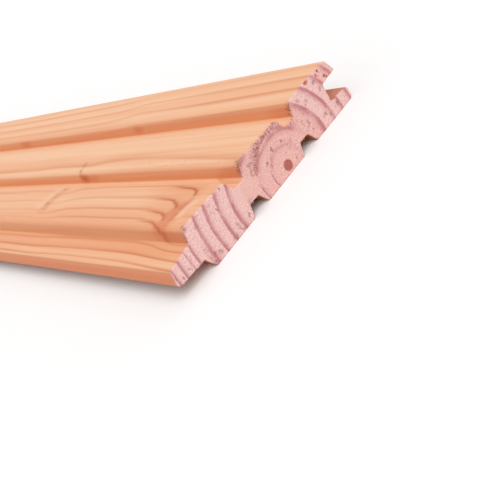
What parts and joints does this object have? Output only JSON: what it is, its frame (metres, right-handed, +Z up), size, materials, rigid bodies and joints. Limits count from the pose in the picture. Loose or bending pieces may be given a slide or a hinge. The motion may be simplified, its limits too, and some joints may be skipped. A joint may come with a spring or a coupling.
{
  "type": "profiled cladding board",
  "caption": "Planed softwood cladding board with rounded ribs on its face, relief grooves in its back, a tongue along one edge and a lipped slot along the other.",
  "frame": {"origin": "middle of the board's length and width, on the plane of its back, which lies on the floor", "axes": "+X along the length, towards the end the picture shows; +Y across the width, from the tongue towards the slot; +Z up out of the ribbed face"},
  "size_m": [1.8, 0.145, 0.027],
  "materials": {
    "softwood": "planed, untreated"
  },
  "bodies": {
    "root": {"board": "softwood"}
  },
  "joints": []
}
